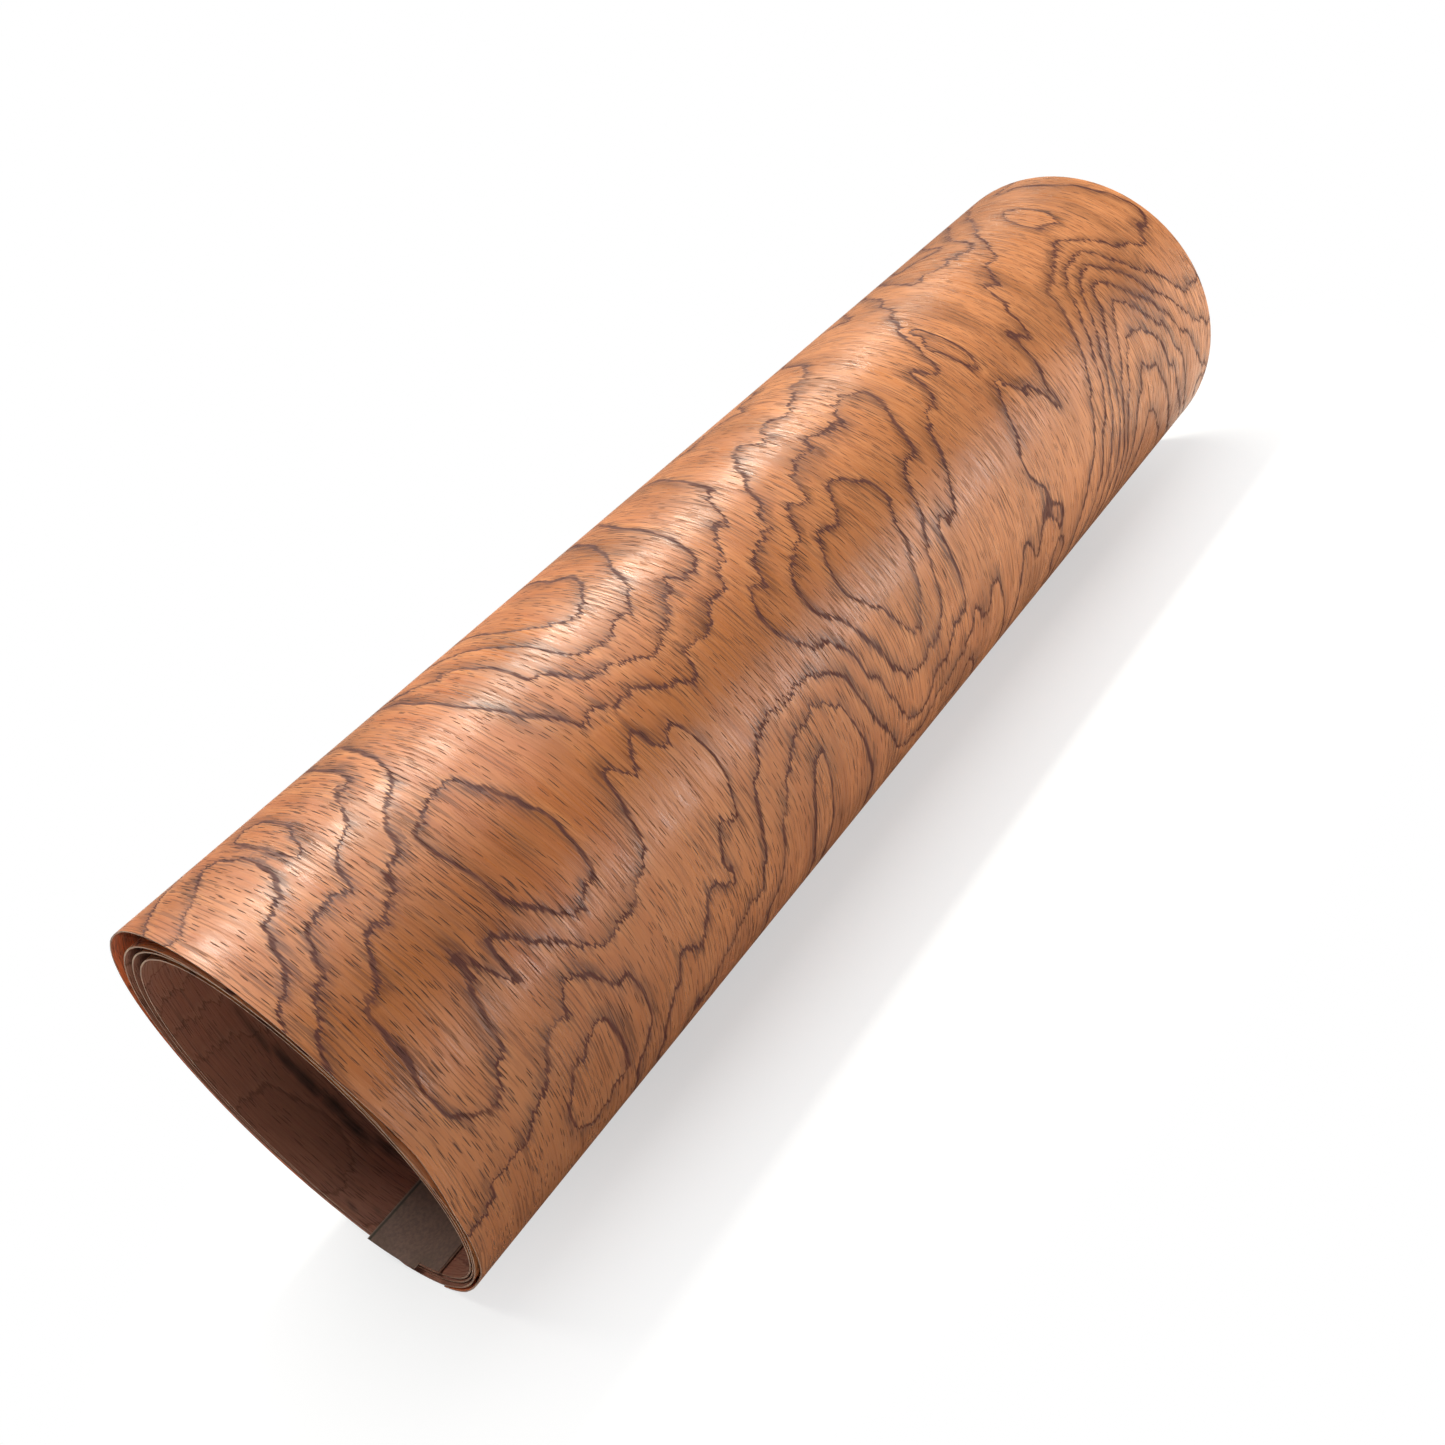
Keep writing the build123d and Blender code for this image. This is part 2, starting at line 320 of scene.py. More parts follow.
        (450, 118), (452, 120.5), (454, 123), (457, 126.4), (460, 129), (464, 132), (469, 136.5)]),
    (-0.5, [(300, 140), (312, 131), (330, 132), (336, 128), (340, 124.5), (345, 128.5), (352, 132.5),
        (362, 131), (368, 138)]),
    (1.5, [(429, 138), (430, 132), (431, 127), (432, 123.7), (434.5, 124.5), (436.5, 127.5), (441, 130),
        (446, 133), (452, 137)]),
    # narrow eye and the ragged edge below it
    (0.5, [(412.5, 87), (413.3, 82), (414.5, 76), (416, 72.7), (418, 71.2), (420, 72.7), (421.7, 76.5),
        (423, 82), (423.3, 86), (422.5, 92), (421.3, 96), (419.5, 96), (418, 93), (416, 89.5), (414, 88)]),
    (-0.5, [(371, -22), (371, -10), (370.5, -3), (371, 2), (373, 5), (374, 9), (376, 13), (377.5, 17.2),
        (379.5, 19.4), (382, 18.5), (384.5, 16.5), (387, 14), (389, 9.2), (391, 9.5), (393, 12), (395, 14),
        (396, 17), (398, 19), (400, 22), (403, 20), (406, 22), (407, 26), (405.5, 30), (401.5, 32),
        (398.5, 36), (399, 41), (401, 44.3), (403, 47), (405, 47), (406.5, 50.5), (408.5, 53.7),
        (410, 55.8), (412, 58.5), (414, 61.2), (416, 63.3), (418, 64.7), (419.5, 62), (421, 63.5),
        (423, 61), (425, 58.4), (427, 55.5), (428, 54.5), (429, 56.5), (431, 57), (433, 56), (435, 54),
        (437, 51), (438.5, 48), (440, 44.5), (441, 44.5), (442, 51), (444, 54), (445.5, 57), (447, 60.2),
        (448, 65), (449, 70), (449.7, 72.5), (451, 70), (453, 69.5), (455, 67.5), (457, 66), (458.5, 65.5),
        (460, 68), (461, 70.5), (463, 73.5), (464, 77), (467, 78.5), (469, 79.5), (470, 83), (471.5, 86),
        (473.5, 89), (475.5, 90), (477, 88), (479, 85.5), (480.5, 86.5), (482, 88.5), (485, 90.6),
        (487.5, 92.5), (490, 94.5), (493, 95.3), (497, 95), (500, 94.2), (503, 95.7), (507, 98.4),
        (511, 100), (515, 103), (518, 106.5), (521, 108), (525, 110.5), (530, 111.5), (534, 113.6),
        (540, 116.5), (545, 119.5), (550, 122.5), (553, 125), (558, 126.5), (562, 127.5), (568, 130),
        (575, 133), (582, 136), (590, 139)]),
    (-0.5, [(410, -22), (411, -6), (411.5, 4), (413, 12), (415, 19), (417, 13), (419, 4), (420, -6),
        (422, -22)]),
    # loops at the upper right
    (0.5, [(490, 139), (480, 133), (476, 129.5), (473, 126), (470, 122.5), (468, 118.5), (466.5, 115),
        (465, 111.5), (466.5, 110.5), (469, 110.5), (471, 112), (474, 112), (477, 112), (479, 110.8),
        (482, 110), (485, 109.5), (488, 108.7), (491, 109.5), (494, 109.7), (496, 107.5), (500, 107.5),
        (502, 106), (506, 105.3), (509, 106), (512, 107.5), (515, 111.5), (518, 116), (521, 119),
        (524, 121), (528, 123), (533, 124), (538, 127), (543, 129), (549, 131.5), (555, 135), (562, 139)]),
    (1.5, [(500, 139), (493, 133), (489, 130), (490, 128), (494, 126), (498, 125.7), (501, 123.8),
        (505, 121), (509, 119.8), (512, 120), (515, 124), (518, 127.5), (521, 130.5), (525, 133.5),
        (530, 136), (536, 139)]),
    (-1.5, [(537.5, 95.5), (538, 98.5), (541, 102.5), (544, 105.5), (548, 108), (552, 109.3), (554, 107.5),
        (556, 104), (556.5, 98), (556, 93.5), (554, 91), (551.5, 89), (549, 88), (546, 89.5), (543, 91.5),
        (540, 91), (538.5, 92.5)]),
    # steep nested arches at the far end
    (-1.5, [(432, -22), (434.5, -5), (435, 0), (437, 3.5), (439, 6.5), (441, 9.5), (443, 12), (446, 14.5),
        (449, 17.6), (452, 20.6), (455, 23.5), (458, 27), (461, 30.5), (464, 34.4), (466, 37.6),
        (468.5, 39), (471, 42), (473, 45), (476, 47.5), (478.5, 51), (481, 53.5), (483, 57), (485.5, 61),
        (488, 63.5), (491, 67), (492.5, 70.5), (494.5, 73), (500, 73.5), (504, 75), (508, 75.5), (511, 77),
        (515, 78), (520, 79.7), (524, 81), (527, 81), (529, 82.5), (533, 83), (535.5, 82.5), (539, 80.4),
        (544, 78), (548, 75.5), (551, 73.5), (554, 71), (556, 69.5), (558, 67.5), (563, 66), (567, 64.5),
        (570, 62.5), (574, 61), (577, 60.5), (579, 62.5), (580.5, 65.5), (583, 66), (585, 68), (587, 66),
        (590, 65.5), (593.5, 66.3), (595.5, 70), (595.5, 78), (595, 84), (593, 88), (592, 93), (590, 98),
        (588.5, 102), (587.5, 106), (588, 112), (587, 118), (585, 124), (586, 138)]),
    (-2.5, [(443, -22), (447, -12), (451, -4.5), (453, 1), (456, 6), (459, 10), (461, 14), (463, 19),
        (465, 23), (468, 26), (472, 28.5), (474.5, 31.5), (477, 35.5), (480, 41), (483, 45), (486, 49),
        (490, 53), (493, 57), (497, 61), (500, 63.5), (503, 66.5), (506, 69), (510, 71), (514, 73),
        (519, 74.5), (525, 74.5), (530, 74.5), (535, 74.5), (538, 73), (541, 70.5), (544, 67.5), (548, 64),
        (551, 61), (555, 58), (560, 54.4), (564, 53), (567, 50.5), (570, 48), (573, 44.7), (577, 42),
        (580, 39), (584, 38.5), (587, 39.5), (590, 39), (593, 38), (596, 38.5), (600, 38.5)]),
    (-3.5, [(453, -22), (458, -12), (462, -3), (465, 3), (468, 8), (471, 13), (473, 18), (475.5, 23),
        (479, 27.5), (481, 32), (484, 37), (488, 42), (491, 47), (496, 52), (500, 55.5), (505, 59.7),
        (509, 63.3), (513, 66.2), (518, 68), (523, 69), (528, 69.8), (531, 69), (535, 66), (539, 63.5),
        (543, 60.6), (546, 57.5), (550, 53), (555, 48.5), (560, 44.6), (565, 41.5), (568, 38), (571, 36),
        (574, 33), (578, 30.5), (581, 27.5), (585, 26), (590, 25), (593, 22.5), (597, 21.3), (600, 21.5)]),
    (-4.5, [(464, -22), (468, -12), (472, -3), (476, 5), (479, 11), (481, 16), (484, 21), (487, 28),
        (490, 35), (493, 41), (497, 45), (502, 49), (507, 53), (511, 55.5), (513, 58.5), (516, 61),
        (521, 63), (525, 63), (529, 60.5), (533, 57.5), (537, 54), (541, 50.6), (546, 47.6), (550, 44.5),
        (553, 40.5), (557, 38), (561, 34), (565, 29.7), (570, 26.5), (574, 23.6), (576, 20), (579, 16),
        (582, 12.6), (587, 9), (593, 5.5), (600, 1)]),
    (-5.5, [(474, -22), (478, -12), (481, -5), (484, 4), (487, 12), (490, 22), (493, 30), (496, 34),
        (500, 37), (504, 41), (508, 45), (511, 48), (514, 50.5), (519, 53.5), (523, 55.3), (525.5, 54),
        (530, 51.5), (535, 48), (540, 43.5), (544, 39), (547, 37), (550, 38), (551, 35), (553, 31),
        (555, 27), (558, 24), (561, 21), (563, 16.5), (565, 12), (567, 7), (569, 2), (573, -3), (580, -10),
        (588, -22)]),
    (-6.5, [(483, -22), (486, -8), (489, 3), (491, 13), (493, 20), (495, 25), (499, 28.5), (502, 31),
        (505, 34.5), (509, 38.5), (513, 41), (516, 43), (520, 43.5), (524, 42.5), (528, 42), (531, 40.5),
        (534, 38.5), (537, 37), (541, 33), (543.5, 27), (546, 22), (550, 21), (552, 16), (553, 12.5),
        (557, 7), (561, 2), (565, -1.5), (570, -6), (578, -13), (584, -22)]),
    (-7.5, [(490, -22), (494, -3), (496, 3), (499, 8), (501, 12), (503, 16), (505, 20.5), (507, 23),
        (511, 24.5), (513, 27.5), (516, 30.5), (519, 31.3), (522, 30), (526, 28.3), (531, 28), (533, 26),
        (535, 22), (537, 18.5), (540, 13.5), (542.5, 8.5), (546, 3), (550, -2), (555, -8), (563, -22)]),
    (-8.5, [(496, -22), (500, -8), (503, -3), (507, 2), (511, 6.5), (514, 10.5), (517, 14), (520, 14.1),
        (523, 12), (527, 7.5), (531, 3), (535, -1), (539, -5.5), (543, -10), (550, -22)]),
]
# heights between the edges
ringHeights = [
    (0.95, 90, 70), (-0.05, 120, 80), (0, 200, 57), (0, 30, 50), (0, 155, 20), (-1, 140, 45),
    (-0.95, 25, 25), (-3, 18, 105), (-3, 48, 115), (-2, 25, 130), (3.9, 185, 125), (3.1, 292, 52),
    (1, 375, 98), (0, 330, 122), (0, 360, 40), (0, 430, 85), (-1, 460, 50), (-1, 430, 20), (-1, 515, 92),
    (-2, 20, -5), (-3, 65, 12), (-0.2, 440, 100), (-1.2, 270, -15), (-0.8, 462, 61), (0, 242, 78),
    (0, 390, 58), (0, 383, 32), (-0.9, 415, 40), (-0.8, 425, 28), (0.9, 417, 83), (0, 60, 70),
    (0.1, 100, 105), (-0.9, 110, 20), (1.1, 270, 125), (0.9, 455, 135), (-1, 570, 95), (-9.1, 519, -5),
    # beside narrow tongues and notches, so that the ring doesn't blot
    (-0.9, 380, -4), (-0.75, 380, 9), (-0.3, 366, 5), (-0.35, 57, 57.5), (-0.75, 50, 50), (-0.65, 64, 50),
    (-0.3, 432, 62), (-0.8, 431, 49), (-0.3, 440, 62), (-0.7, 452, 61), (-0.75, 475.5, 84.5),
    (-0.3, 465, 87), (0.38, 415, 92.6), (0.36, 418, 97), (0.38, 422.3, 98.5), (0.3, 392, 79),
    (0.68, 397.5, 85), (0.65, 258, 97), (0.35, 257, 86), (0.65, 303, 103), (0.3, 300, 113), (-1.3, 588, 73),
    (-1.75, 594, 60), (-1.25, 581, 110), (-1.8, 595, 112), (-0.3, 121, -1), (-0.75, 121, -15),
    (-0.75, 142, 31), (-0.25, 141, 16), (-0.75, 159, 41), (-0.25, 158, 29), (-0.8, 159, 53),
    (-0.25, 158, 65), (-0.25, 141, 67), (-0.75, 142, 56), (1.7, 139, 128), (1.3, 136, 115), (-2.3, 62, -8),
    (-0.3, 416, 0), (-0.25, 455, 77), (-0.8, 402, 9), (-0.8, 351, 8), (-2.8, 2, 100), (-2.8, 4, 88),
    (-2.85, 10, 95), (-2.9, 12, 105), (-2.1, 40.8, 107), (-2.15, 41, 112), (-2.2, 40.8, 118),
    (-2.1, 41, 101), (-2.8, 48, 110),
]

# dark smudges of the seen half turn: place as above, half sizes along and round in mm, strength
smudges = [
    (130, 92, 4.5, 11, 0.55), (148, 93, 2, 7, 0.5), (223, 110, 3, 11, 0.7), (198, 127, 3, 5, 0.5),
    (199, 120, 4, 2, 0.4), (157, 112, 1.5, 4, 0.5), (187, 124, 1.5, 6, 0.4), (135, 120, 2, 4, 0.4),
    (207, -6, 3, 6, 0.6), (69, 119, 4, 9, 0.4), (77, 113, 2, 5, 0.4), (40, 109, 3.5, 12, 0.35),
    (52, 60, 2.5, 6, 0.45), (63, 56, 2, 4, 0.3), (106, 66, 2.5, 11, 0.4), (18, 52, 1.5, 9, 0.4),
    (13, 46, 4, 9, 0.35), (48, 48, 4, 8, 0.35), (90, 68, 6, 12, 0.3), (268, 54, 2, 9, 0.55),
    (283, 52, 1.2, 8, 0.55), (259, 5, 4, 11, 0.65), (326.5, 38, 1.5, 18, 0.5), (371, 52, 5, 8, 0.55),
    (380, 47, 8, 10, 0.2), (403, 40, 3, 9, 0.45), (404, 26, 3.5, 9, 0.5), (415, 8, 3, 11, 0.6),
    (432, 125, 3, 4, 0.3), (440, 47, 1.5, 6, 0.5), (428, 54, 2, 5, 0.4), (477, 87, 3, 4, 0.3),
    (457, 67, 2, 3, 0.5), (557, 96, 2, 9, 0.45), (558, 107, 2, 5, 0.3), (587, 119, 3, 3, 0.5),
    (590, 113, 1.5, 5, 0.5), (584, 44, 1.2, 5, 0.4), (588, 42, 6, 3, 0.3), (340, 127, 6, 5, 0.3),
    (495, 131, 4, 10, 0.3), (2, 7, 2, 5, 0.5), (151, 23, 1.2, 6, 0.4),
]
# broad darker parts of the seen half turn, in the same way: partly painted shading where the roll got less
# light, partly the wood's own darker patches
shadingAndPatches = [
    (35, 67, 90, 22, 0.7), (50, 12, 110, 58, 0.7), (210, 62, 120, 22, 0.55), (200, 22, 80, 35, 0.45),
    (330, 66, 120, 20, 0.45), (470, 67, 90, 18, 0.45), (540, 146, 100, 60, 0.9), (400, 143, 60, 30, 0.4),
    (570, 112, 40, 15, 0.25), (94, 68, 9, 16, 0.65), (292, 55, 14, 22, 0.6), (213, 60, 16, 16, 0.6),
    (210, 74, 16, 10, 0.5), (187, 118, 9, 14, 0.3), (25, 120, 25, 16, 0.3),
]
# black streak on the back face of the innermost turn: mm along, degrees wound, half sizes in mm, strength
innerStreak = [
    (24, 112, 1, 6, 0.5), (24.2, 101, 1.5, 8, 0.8), (26.2, 90, 1.8, 9, 1), (26.5, 81, 2.2, 9, 1),
    (27.3, 70, 2.4, 9, 1), (26, 61, 2.2, 8, 1), (28, 49, 1.6, 8, 0.9), (28.6, 38, 1, 8, 0.7),
    (3, 45, 0.7, 4, 0.7), (7, 37, 0.7, 5, 0.7), (13, 34.8, 20, 0.6, 1),
]


def seenFigure():
    # ring height on the seen half turn, as a function: a thin plate bent through the ring edges
    knots, heights = [], []
    for height, places in ringEdges:
        knots += places
        heights += [height] * len(places)
    for height, along, way in ringHeights:
        knots.append((along, way))
        heights.append(height)
    knots = np.array(knots, float) * (1, veneer["mmPerDegree"]) / veneer["plateMm"]
    count = len(knots)

    def bend(here):
        away = (here[:, :1] - knots[:, 0]) ** 2 + (here[:, 1:] - knots[:, 1]) ** 2
        return 0.5 * away * np.log(away + 1e-9)      # finite on a knot too

    system = np.zeros((count + 3, count + 3))
    system[:count, :count] = bend(knots) + veneer["stiffness"] * np.eye(count)
    system[:count, count] = system[count, :count] = 1
    system[:count, count + 1:] = knots
    system[count + 1:, :count] = knots.T
    pull = np.linalg.solve(system, np.append(heights, (0, 0, 0)))

    def height(alongMm, direction):
        here = np.stack([alongMm, direction * veneer["mmPerDegree"]], 1) / veneer["plateMm"]
        batches = np.array_split(here, 1 + len(here) // veneer["batch"])
        parts = [bend(some) @ pull[:count] for some in batches]
        return np.concatenate(parts) + pull[count] + here @ pull[count + 1:]
    return height


def hiddenFigure(alongMm, roundMm):
    # ring height elsewhere: broad loops of the same kind
    height = np.zeros(len(alongMm))
    for number, (along, way) in enumerate(zip(alongMm, roundMm)):
        for loopAlong, loopRound, seed, rings in veneer["hiddenLoops"]:
            height[number] += rings * noise.noise(Vector((along / loopAlong, way / loopRound, seed)))
    return height


def smudgeStrength(places, alongMm, direction):
    strength = np.zeros(alongMm.shape)
    for along, way, alongHalf, roundHalf, most in places:
        aside = (direction - way) * veneer["mmPerDegree"] / roundHalf
        strength = np.maximum(strength, most * np.exp(-((alongMm - along) / alongHalf) ** 2 - aside ** 2))
    return strength


def streakStrength(alongMm, wound):
    strength = np.zeros(alongMm.shape)
    for along, turned, alongHalf, roundHalf, most in innerStreak:
        aside = (wound - turned) * veneer["innerMmPerDegree"] / roundHalf
        away = ((alongMm - along) / alongHalf) ** 2 + aside ** 2
        strength = np.maximum(strength, most * np.exp(-away ** 2))
    return strength


def smooth(value, low, high):
    part = np.clip((value - low) / (high - low), 0, 1)
    return part * part * (3 - 2 * part)


def deselectAll():
    if bpy.context.object and bpy.context.object.mode != "OBJECT":
        bpy.ops.object.mode_set(mode="OBJECT")
    bpy.ops.object.select_all(action="DESELECT")


def selectOnly(piece):
    deselectAll()
    piece.select_set(True)
    bpy.context.view_layer.objects.active = piece


def mergedCopy(node, name):
    # own copy of a CAD solid as a closed mesh of quads
    piece = frame["nodes"][node].copy()
    piece.data = piece.data.copy()
    piece.name = piece.data.name = name
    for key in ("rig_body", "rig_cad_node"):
        if key in piece:
            del piece[key]
    piece.parent = None
    bpy.context.scene.collection.objects.link(piece)
    selectOnly(piece)
    bpy.ops.object.mode_set(mode="EDIT")
    bpy.ops.mesh.select_all(action="SELECT")
    bpy.ops.mesh.remove_doubles(threshold=veneer["samePlace"])
    bpy.ops.mesh.tris_convert_to_quads(face_threshold=veneer["quadAngle"],
                                       shape_threshold=veneer["quadShape"])
    bpy.ops.mesh.select_all(action="DESELECT")
    bpy.ops.object.mode_set(mode="OBJECT")
    return piece


def nearLoop(piece):
    # points round the near end, in order
    mesh = bmesh.new()
    mesh.from_mesh(piece.data)
    nearest = min(v.co.y for v in mesh.verts)
    after = {}
    for edge in mesh.edges:
        if all(abs(v.co.y - nearest) < veneer["samePlace"] for v in edge.verts):
            facing = [abs(face.normal.y) > veneer["endFacing"] for face in edge.link_faces]
            if sorted(facing) == [False, True]:
                a, b = edge.verts
                after.setdefault(a, []).append(b)
                after.setdefault(b, []).append(a)
    first = next(iter(after))
    loop, before, here = [first], None, first
    while True:
        step = [v for v in after[here] if v != before][0]
        if step == first:
            break
        loop.append(step)
        before, here = here, step
    points = [v.co.copy() for v in loop]
    mesh.free()
    return points


def sectionChains(piece):
    # the section's outer and inner line at the near end, each from the sheet's inner end
    points = nearLoop(piece)
    count = len(points)
    one, two = [i for i in range(count) if (points[i] - points[i - 1]).length < veneer["widestEdge"]]
    axis = Vector((sum(p.x for p in points) / count, points[0].y, sum(p.z for p in points) / count))
    chains = [points[one:two], points[two:] + points[:one]]
    for chain in chains:
        if (chain[0] - axis).length > (chain[-1] - axis).length:
            chain.reverse()
    chains.sort(key=lambda chain: -(chain[0] - axis).length)
    print("section lines", [len(chain) for chain in chains], "loop", count)
    return chains


def sectionTree(chains):
    # finds a point's place in the section: twice its steps from the inner end, and one more on
    # the back face
    tree = kdtree.KDTree(2 * (2 * len(chains[0]) - 1))
    for side, chain in enumerate(chains):
        for number, point in enumerate(chain):
            tree.insert((point.x, 0, point.z), 4 * number + side)
            if number:
                middle = (point + chain[number - 1]) / 2
                tree.insert((middle.x, 0, middle.z), 4 * number - 2 + side)
    tree.balance()
    return tree


def stepsAndSides(piece, tree):
    # half arcs from the inner end, and 0 on the good face or 1 on the back face
    found = np.array([tree.find((v.co.x, 0, v.co.z))[1] for v in piece.data.vertices])
    return found // 2, found % 2


def cutEdges(piece, cuts, wanted):
    # subdivides the edges that wanted(first point, second point) picks
    mesh = piece.data
    bpy.context.tool_settings.mesh_select_mode = (False, True, False)
    for edge in mesh.edges:
        edge.select = wanted(*edge.vertices)
    bpy.ops.object.mode_set(mode="EDIT")
    bpy.ops.mesh.subdivide(number_cuts=cuts, quadcorner="INNERVERT")
    bpy.ops.mesh.select_all(action="DESELECT")
    bpy.ops.object.mode_set(mode="OBJECT")


def makeRolledSheet():
    piece = mergedCopy("veneer_sheet", "rolledVeneer")
    points = piece.data.vertices
    chains = sectionChains(piece)
    tree = sectionTree(chains)

    def reach(a, b):
        return abs(points[a].co.y - points[b].co.y)

    cutEdges(piece, veneer["strips"] - 1, lambda a, b: reach(a, b) > veneer["wholeRoll"])
    # finer on the good face of the outer turn, whose figure is seen
    innerTurns = int((veneer["turns"] - 1) / veneer["turns"] * (len(chains[0]) - 1))
    start = 2 * innerTurns - veneer["fineLead"]
    steps, sides = stepsAndSides(piece, tree)
    seen = (steps >= start) & (sides == 0)
    cutEdges(piece, veneer["fineStrips"] - 1,
             lambda a, b: seen[a] and seen[b] and reach(a, b) > veneer["oneStrip"])
    steps, sides = stepsAndSides(piece, tree)
    seen = (steps >= start) & (sides == 0)
    cutEdges(piece, 1, lambda a, b: seen[a] and seen[b] and reach(a, b) < veneer["samePlace"])
    # and on the back face just inside the near end, where a streak is seen
    steps, sides = stepsAndSides(piece, tree)
    streakEnd = min(v.co.y for v in points) + veneer["streakReach"]
    inside = (steps < veneer["streakTurn"] * start) & (sides == 1)
    cutEdges(piece, veneer["streakStrips"] - 1,
             lambda a, b: inside[a] and inside[b] and reach(a, b) > veneer["oneStrip"]
             and max(points[a].co.y, points[b].co.y) < streakEnd)
    print("rolled sheet", len(points), "points", len(piece.data.polygons), "faces")
    return piece, chains, tree


def setFigure(piece, chains, tree):
    # writes where each point lies on the flat sheet, its smudges, its painted shading and darker patches,
    # and its rings' height and slope
    mesh = piece.data
    outer, inner = chains
    halfSteps = 2 * (len(outer) - 1)
    steps, sides = stepsAndSides(piece, tree)
    middle = np.array([(a + b) / 2 for a, b in zip(outer, inner)])
    lengths = np.concatenate([[0], np.cumsum(np.linalg.norm(np.diff(middle, axis=0), axis=1))]) * 1000
    roundMm = np.interp(steps, np.arange(len(lengths)) * 2, lengths)
    wound = steps / halfSteps * 360 * veneer["turns"]
    intoOuter = wound - 360 * (veneer["turns"] - 1)
    nearest = min(v.co.y for v in mesh.vertices)
    alongMm = np.array([v.co.y - nearest for v in mesh.vertices]) * 1000
    direction = (veneer["innerEnd"] - wound) % 360
    direction = np.where(direction > veneer["seamAt"], direction - 360, direction)
    seenHeight = seenFigure()
    share = 1 - smooth(direction, *veneer["hiddenFrom"])
    share = np.where((intoOuter > veneer["seenWound"]) & (direction > veneer["seenBelow"]), share, 0)
    near = np.flatnonzero(share > 0)

    def ringHeight(stepAlong, stepRound):
        height = hiddenFigure(alongMm + stepAlong, roundMm + stepRound)
        traced = np.minimum(direction[near] - stepRound / veneer["mmPerDegree"], veneer["tracedTo"])
        seen = seenHeight(alongMm[near] + stepAlong, traced)
        height[near] += (seen - height[near]) * share[near]
        return height

    step = veneer["stepMm"]
    height = ringHeight(0, 0)
    riseRound = (ringHeight(0, step) - height) / step
    riseAlong = (ringHeight(step, 0) - height) / step
    marks = smudgeStrength(smudges, alongMm, direction) * share
    # painted shading where the roll got less light, with some darker patches of the wood, on the good face
    # only
    shadingAndPatch = smudgeStrength(shadingAndPatches, alongMm, direction) * share * (sides == 0)
    streaked = (sides == 1) & (wound < veneer["streakTo"])
    marks = np.where(streaked, streakStrength(alongMm, wound), marks)
    trebles = {"sheetPlace": (alongMm, roundMm, marks), "sheetRings": (height, riseRound, riseAlong)}
    for name, values in trebles.items():
        layer = mesh.attributes.new(name, "FLOAT_VECTOR", "POINT")
        layer.data.foreach_set("vector", np.stack(values, 1).astype(np.float32).ravel())
    layer = mesh.attributes.new("sheetShadingAndPatch", "FLOAT", "POINT")
    layer.data.foreach_set("value", shadingAndPatch.astype(np.float32))
    waveNearRim(mesh, wound, alongMm)
    return sides


def waveNearRim(mesh, wound, alongMm):
    # the near rims don't lie quite flush
    at, drawn = np.array(veneer["rimWaves"], float).T
    intoOuter = wound - 360 * (veneer["turns"] - 1)
    waveMm, waveDegrees, *seeds = veneer["innerRim"]
    inner = np.array([waveMm * noise.noise(Vector((float(w) / waveDegrees, *seeds))) for w in wound])
    drawn = np.where(intoOuter < at[0], inner, np.interp(intoOuter, at, drawn))
    fade = 1 - smooth(alongMm, 0, veneer["rimReach"])
    places = np.empty(3 * len(wound))
    mesh.vertices.foreach_get("co", places)
    places = places.reshape(-1, 3)
    places[:, 1] += drawn * fade / 1000
    mesh.vertices.foreach_set("co", places.ravel())
    mesh.update()


def setFaces(piece, side, materials):
    # good face, back face and cut edges
    mesh = piece.data
    mesh.materials.clear()
    for material in materials:
        mesh.materials.append(material)
    for face in mesh.polygons:
        sides = {side[i] for i in face.vertices}
        face.material_index = 2 if len(sides) > 1 else (1 if 1 in sides else 0)


# Patterns of the wood, the same on both faces: size along the roll and round it in mm, seed,
# detail, and then the values between which a pattern rises, with what it rises from and to
grains = {
    "teeth": (4.2, 34, 1.7, 0), "midTeeth": (1.5, 12, 4.2, 0), "fineTeeth": (0.6, 9, 8.2, 0),
    "sway": (9, 22, 6.6, 2), "lineWidth": (16, 26, 9.3, 1),
    "fray": (0.7, 6, 12.4, 0, 0.2, 0.5, 0.55, 1.0), "lineFade": (22, 50, 15.1, 1, 0.25, 0.45, 0.65, 1.0),
    "comb": (0.7, 14, 71.3, 0, 0.46, 0.58), "haloPatches": (19, 30, 60.4, 1, 0.3, 0.6, 0.3, 1.0),
    "smokePatches": (15, 40, 18.9, 2, 0.35, 0.65, 0.2, 1.0),
    "scarce": (38, 60, 21.3, 1, 0.3, 0.66, 0.75, 0.1), "longer": (45, 70, 52.6, 1, 0.42, 0.58),
    "hair": (0.65, 26, 44.1, 0, 0.57, 0.65), "hairPatches": (14, 45, 46.7, 1, 0.32, 0.6, 0.25, 1.0),
    "broad": (60, 90, 24.5, 2, 0.3, 0.7), "band": (5.5, 90, 27.2, 2, 0.25, 0.75),
    "cloud": (24, 70, 50.2, 2, 0.45, 0.72), "fibre": (0.7, 10, 30.8, 2), "coarse": (1.8, 30, 33.3, 1),
    "gleam": (16, 60, 80.2, 2, 0.3, 0.7), "fineGleam": (1.0, 24, 84.6, 1, 0.3, 0.7),
}
